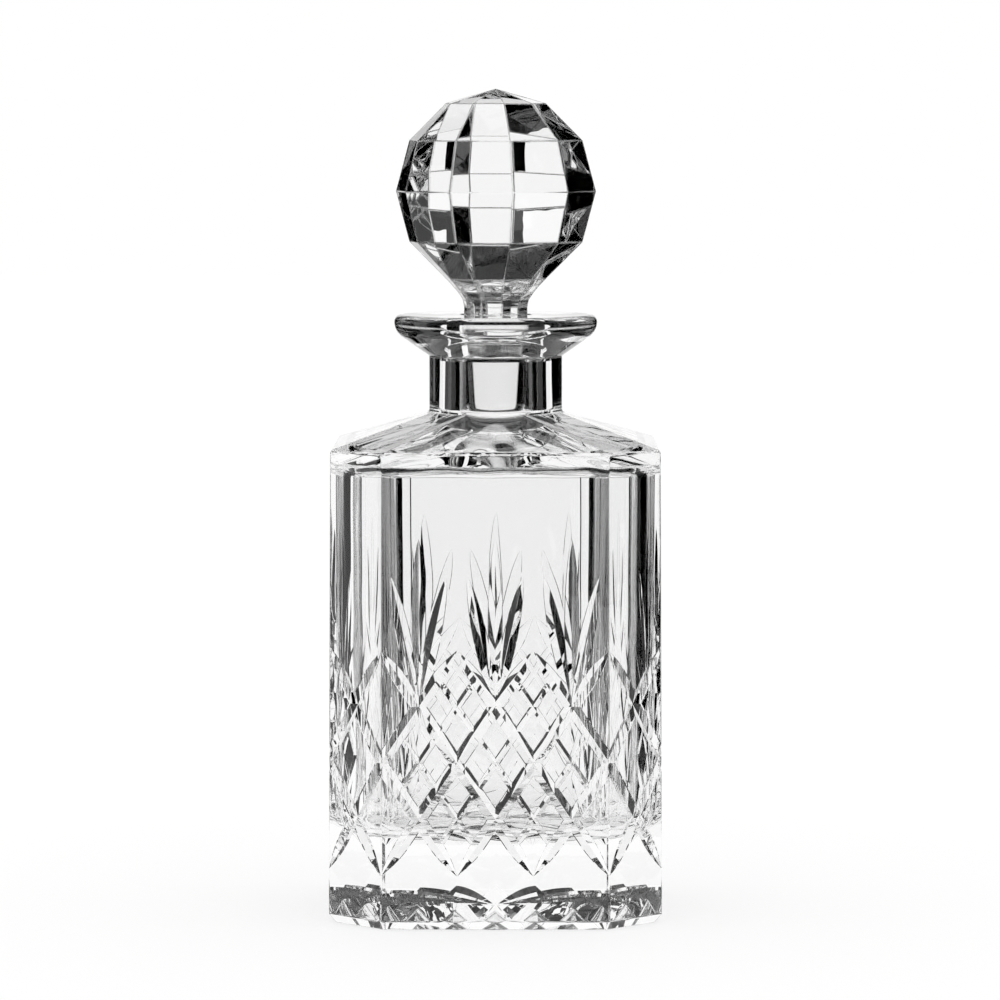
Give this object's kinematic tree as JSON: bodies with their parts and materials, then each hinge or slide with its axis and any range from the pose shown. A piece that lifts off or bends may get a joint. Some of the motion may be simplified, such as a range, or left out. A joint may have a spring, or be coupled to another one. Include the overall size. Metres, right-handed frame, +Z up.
{
  "type": "decanter",
  "caption": "Square cut crystal decanter with cut corners, diamond lattice and fan cutting, flared lip and faceted ball stopper.",
  "frame": {"origin": "centre of the foot, on the surface the decanter stands on", "axes": "+Z up along the axis of the neck and stopper, +X and +Y square to the flat sides, -Y towards the viewer"},
  "size_m": [0.1, 0.1, 0.2498],
  "materials": {
    "crystal_bottle": "polished clear lead crystal",
    "crystal_stopper": "polished clear lead crystal"
  },
  "bodies": {
    "bottle": {"bottle": "crystal_bottle"},
    "stopper": {"stopper": "crystal_stopper"}
  },
  "joints": [
    {"name": "stopper_lift", "type": "slide", "parent": "bottle", "child": "stopper", "axis": [0, 0, 1], "range_m": [0, 0.05]}
  ]
}
